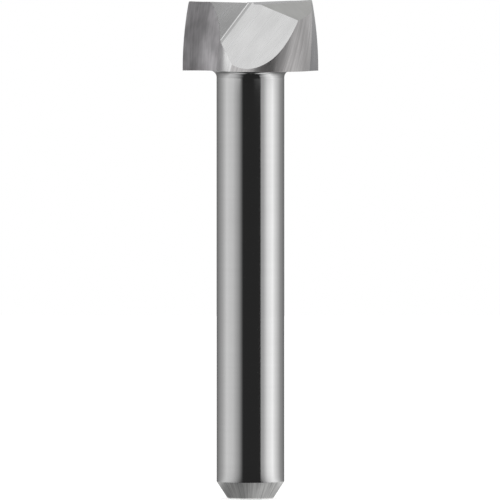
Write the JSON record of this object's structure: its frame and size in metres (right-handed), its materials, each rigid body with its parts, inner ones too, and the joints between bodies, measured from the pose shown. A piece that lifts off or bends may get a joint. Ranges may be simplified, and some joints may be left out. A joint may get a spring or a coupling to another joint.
{
  "type": "endmill",
  "caption": "Solid carbide end mill with a wide, short two-flute cutting head on a plain straight shank.",
  "frame": {"origin": "middle of the shank's end face, on the tool axis", "axes": "+Z along the tool axis towards the cutting end; +X runs through one cutting edge at the base of the head"},
  "size_m": [0.012, 0.0098, 0.0441],
  "materials": {
    "ground_carbide": "polished shank, fine-ground flutes and relief faces"
  },
  "bodies": {
    "root": {"endmill": "ground_carbide"}
  },
  "joints": []
}
